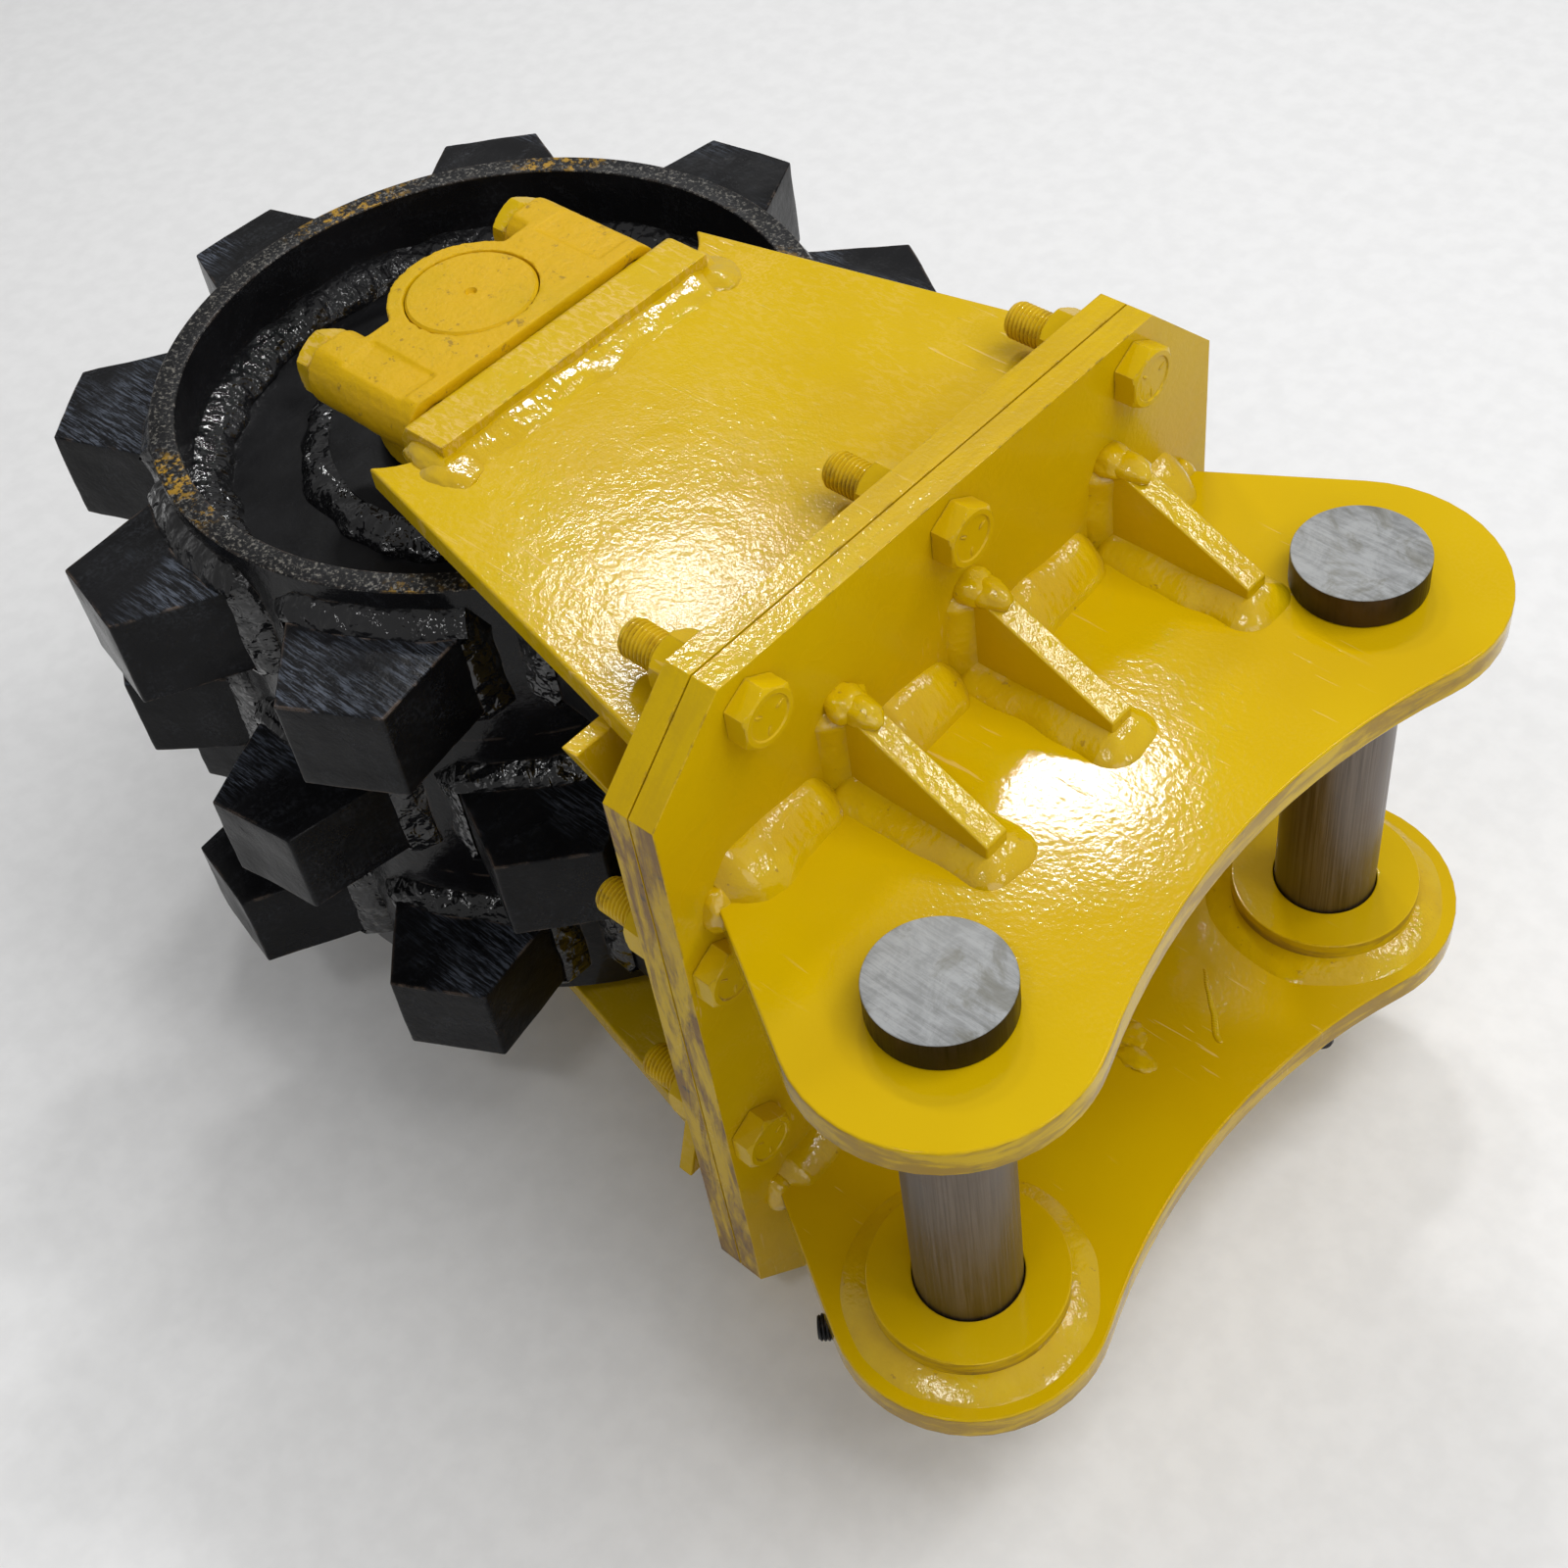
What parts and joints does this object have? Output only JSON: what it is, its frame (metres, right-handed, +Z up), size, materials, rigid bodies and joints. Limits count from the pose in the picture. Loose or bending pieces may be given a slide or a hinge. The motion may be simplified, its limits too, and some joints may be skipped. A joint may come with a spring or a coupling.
{
  "type": "track roller compaction wheel",
  "caption": "Excavator compaction wheel: a footed steel drum on a track roller, in a two-plate frame that bolts to a hanger with two ear plates and headed pins.",
  "frame": {"origin": "middle of the assembly's footprint, on the floor that the wheel lies on", "axes": "+X from the wheel to the ears, +Z up along the wheel's axle, +Y along the flange"},
  "size_m": [0.6294, 0.4098, 0.3882],
  "materials": {
    "yellow_paint": "thick glossy golden yellow enamel over weld and flame-cut plate, scuffed on edges",
    "yellow_casting": "golden yellow enamel over rough cast steel",
    "yellow_fastener": "golden yellow enamel over bolts, nuts and threads",
    "black_paint": "gloss black enamel, scuffed on the feet and speckled bare on the rims",
    "pin_steel": "turned and ground steel with a light brown oil film, scratched light grey heads",
    "black_bolt": "black oxide",
    "bronze": "bored bronze",
    "ground_steel": "ground"
  },
  "bodies": {
    "frame": {"collar_bar_lower": "yellow_paint", "collar_bar_upper": "yellow_paint", "collar_bolt_1": "yellow_fastener", "collar_bolt_2": "yellow_fastener", "collar_bolt_3": "yellow_fastener", "collar_bolt_4": "yellow_fastener", "collar_lower": "yellow_casting", "collar_pin_lower": "ground_steel", "collar_pin_upper": "ground_steel", "collar_upper": "yellow_casting", "cross_plate": "yellow_paint", "ear_plate_lower": "yellow_paint", "ear_plate_upper": "yellow_paint", "flange_bolt_01": "yellow_fastener", "flange_bolt_02": "yellow_fastener", "flange_bolt_03": "yellow_fastener", "flange_bolt_04": "yellow_fastener", "flange_bolt_05": "yellow_fastener", "flange_bolt_06": "yellow_fastener", "flange_bolt_07": "yellow_fastener", "flange_bolt_08": "yellow_fastener", "flange_bolt_09": "yellow_fastener", "flange_bolt_10": "yellow_fastener", "gusset_lower_1": "yellow_paint", "gusset_lower_2": "yellow_paint", "gusset_lower_3": "yellow_paint", "gusset_upper_1": "yellow_paint", "gusset_upper_2": "yellow_paint", "gusset_upper_3": "yellow_paint", "hanger_flange": "yellow_paint", "pin_boss_lower_left": "yellow_paint", "pin_boss_lower_right": "yellow_paint", "pin_boss_upper_left": "yellow_paint", "pin_boss_upper_right": "yellow_paint", "pin_collar_left": "yellow_paint", "pin_collar_right": "yellow_paint", "pin_left": "pin_steel", "pin_lock_bolt_left": "black_bolt", "pin_lock_bolt_right": "black_bolt", "pin_right": "pin_steel", "roller_shaft": "yellow_casting", "seal_ring_fixed_lower": "ground_steel", "seal_ring_fixed_upper": "ground_steel", "side_plate_lower": "yellow_paint", "side_plate_upper": "yellow_paint", "wheel_flange": "yellow_paint"},
    "drum": {"bushing_lower": "bronze", "bushing_upper": "bronze", "drum_ring_lower": "black_paint", "drum_ring_middle": "black_paint", "drum_ring_upper": "black_paint", "roller_shell": "black_paint", "seal_ring_turning_lower": "ground_steel", "seal_ring_turning_upper": "ground_steel", "web_disc_lower": "black_paint", "web_disc_upper": "black_paint"}
  },
  "joints": [
    {"name": "drum_spin", "type": "hinge", "parent": "frame", "child": "drum", "pos_m": [-0.11035, 0, 0.1991], "axis": [0, 0, 1], "continuous": true}
  ]
}
